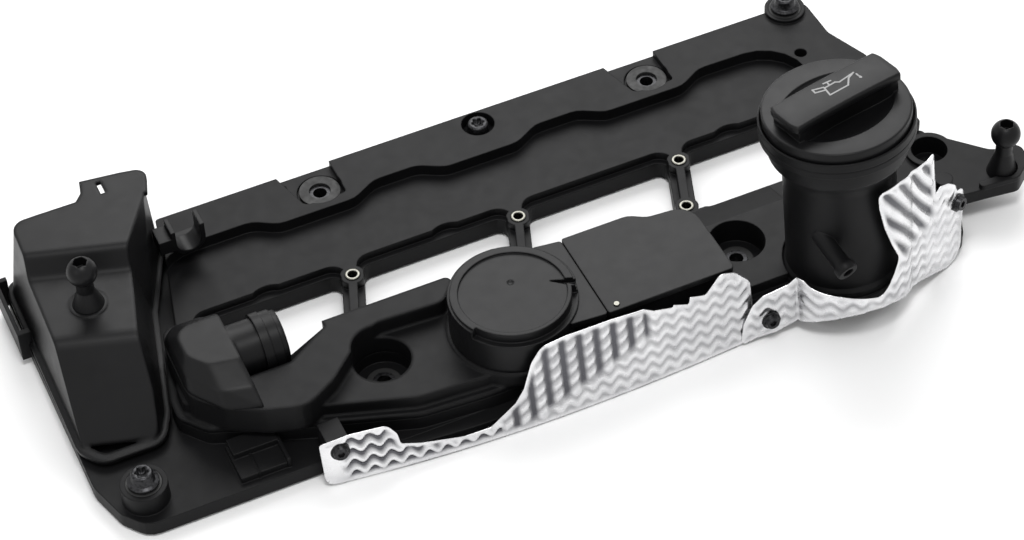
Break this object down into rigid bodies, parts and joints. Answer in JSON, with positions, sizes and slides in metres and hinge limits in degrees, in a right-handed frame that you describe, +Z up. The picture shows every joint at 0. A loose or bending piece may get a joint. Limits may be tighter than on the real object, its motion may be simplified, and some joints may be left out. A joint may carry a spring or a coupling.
{
  "type": "engine valve cover",
  "caption": "Moulded valve cover with windows for the injectors, an oil separator, a vacuum reservoir, a filler neck with screw-off cap and dimpled heat shields.",
  "frame": {"origin": "middle of the overall box at the underside of the gasket", "axes": "+X to the oil filler's end, along the row of cylinders; +Y to the straight rear rail; +Z up, away from the cylinder head"},
  "size_m": [0.4868, 0.2176, 0.1273],
  "materials": {
    "black_nylon": "matt moulded glass-filled nylon",
    "seal_rubber": "matt oil-proof rubber",
    "bright_steel": "bright plated steel",
    "black_steel": "black coated steel",
    "shield_foil": "bright embossed sheet"
  },
  "bodies": {
    "cover": {"cover_base": "black_nylon", "rim_gasket": "seal_rubber", "well_gasket": "seal_rubber", "rib_inserts": "bright_steel", "spacer_sleeves": "black_steel", "sleeve_grommets": "seal_rubber", "cover_bolts": "black_steel", "separator_lid": "black_nylon", "separator_baffle": "black_nylon", "drain_valve": "seal_rubber", "breather_hood": "black_nylon", "stub_collar": "black_nylon", "stub_o_ring": "seal_rubber", "valve_cap": "black_nylon", "valve_diaphragm": "seal_rubber", "valve_spring": "bright_steel", "chamber_lid": "black_nylon", "lid_pin": "bright_steel", "reservoir_shell": "black_nylon", "hose_clip": "black_nylon", "ball_stud_left": "black_nylon", "ball_stud_right": "black_nylon", "filler_neck": "black_nylon", "neck_seal": "seal_rubber", "heat_shield_front": "shield_foil", "heat_shield_neck": "shield_foil", "shield_screws": "black_steel"},
    "plate": {"valve_plate": "black_nylon"},
    "cap_ring": {"cap_seal": "seal_rubber"},
    "cap": {"filler_cap": "black_nylon", "cap_insert": "black_nylon"}
  },
  "joints": [
    {"name": "valve_stroke", "type": "slide", "parent": "cover", "child": "plate", "axis": [0, 0, -1], "range_m": [0, 0.003], "stiffness_N_per_m": 400, "springref_m": -0.002, "deforming": ["valve_spring"]},
    {"name": "cap_lift", "type": "slide", "parent": "cover", "child": "cap_ring", "axis": [-0.0348, 0.0872, 0.9956], "range_m": [0, 0.06]},
    {"name": "cap_turn", "type": "hinge", "parent": "cap_ring", "child": "cap", "pos_m": [0.12593, -0.06451, 0.10583], "axis": [-0.0348, 0.0872, 0.9956], "range_deg": [-90, 0]}
  ]
}
